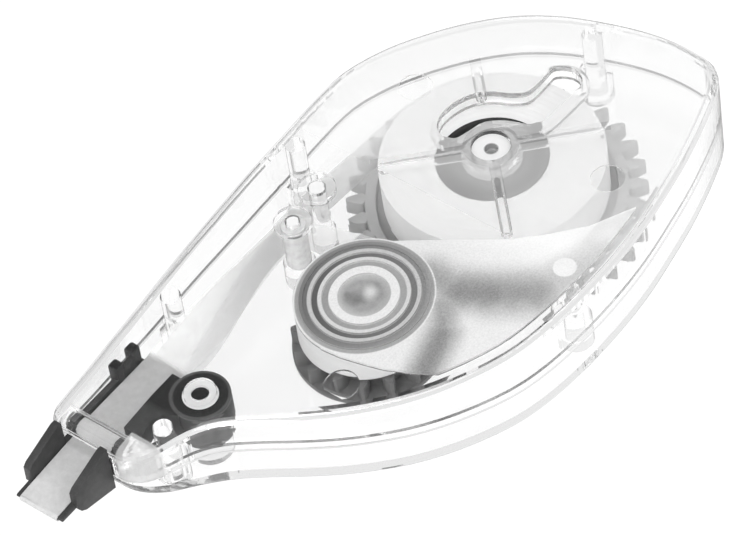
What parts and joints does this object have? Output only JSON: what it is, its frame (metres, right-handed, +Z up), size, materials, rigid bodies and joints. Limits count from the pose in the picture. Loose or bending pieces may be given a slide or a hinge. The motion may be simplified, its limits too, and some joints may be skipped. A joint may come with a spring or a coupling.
{
  "type": "correction tape dispenser",
  "caption": "Hand-held correction tape dispenser: a clear teardrop case with geared supply and take-up reels, and tape that runs round a blade at the nose.",
  "frame": {"origin": "middle of the part seen from above, at the height of the base's flat underside", "axes": "+X along the case from the blade to the rear end, +Z up through the cover, +Y to the side that the tape runs along"},
  "size_m": [0.0834, 0.0408, 0.0126],
  "materials": {
    "clear_plastic": "clear, polished, with a fine frosted thumb pad",
    "gear_plastic": "satin moulded",
    "core_plastic": "smooth moulded",
    "dark_plastic": "satin moulded",
    "roller_plastic": "smooth moulded",
    "ring_rubber": "matt",
    "tape": "white coating on a thin backing",
    "backing": "thin spent backing film"
  },
  "bodies": {
    "case": {"cover": "clear_plastic", "base": "clear_plastic", "applicator_head": "dark_plastic", "supply_strip": "tape", "return_strip": "backing"},
    "drive": {"supply_gear": "gear_plastic"},
    "supply_reel": {"supply_core": "core_plastic", "clutch_ring": "ring_rubber", "supply_roll": "tape"},
    "take_up": {"take_up_reel": "dark_plastic", "take_up_winding": "backing"},
    "roller": {"return_roller": "roller_plastic"}
  },
  "joints": [
    {"name": "supply_spin", "type": "hinge", "parent": "case", "child": "drive", "pos_m": [0.01875, 0.00004, 0.0033], "axis": [0, 0, 1], "continuous": true},
    {"name": "core_slip", "type": "hinge", "parent": "drive", "child": "supply_reel", "pos_m": [0.01875, 0.00004, 0.007], "axis": [0, 0, 1], "continuous": true},
    {"name": "take_up_spin", "type": "hinge", "parent": "case", "child": "take_up", "pos_m": [-0.00375, 0.00004, 0.0033], "axis": [0, 0, 1], "continuous": true},
    {"name": "return_roller_spin", "type": "hinge", "parent": "case", "child": "roller", "pos_m": [-0.00044, 0.01179, 0.007], "axis": [0, 0, 1], "continuous": true}
  ],
  "couplings": [
    {"joint": "take_up_spin", "follows": "supply_spin", "ratio": -2.125}
  ]
}
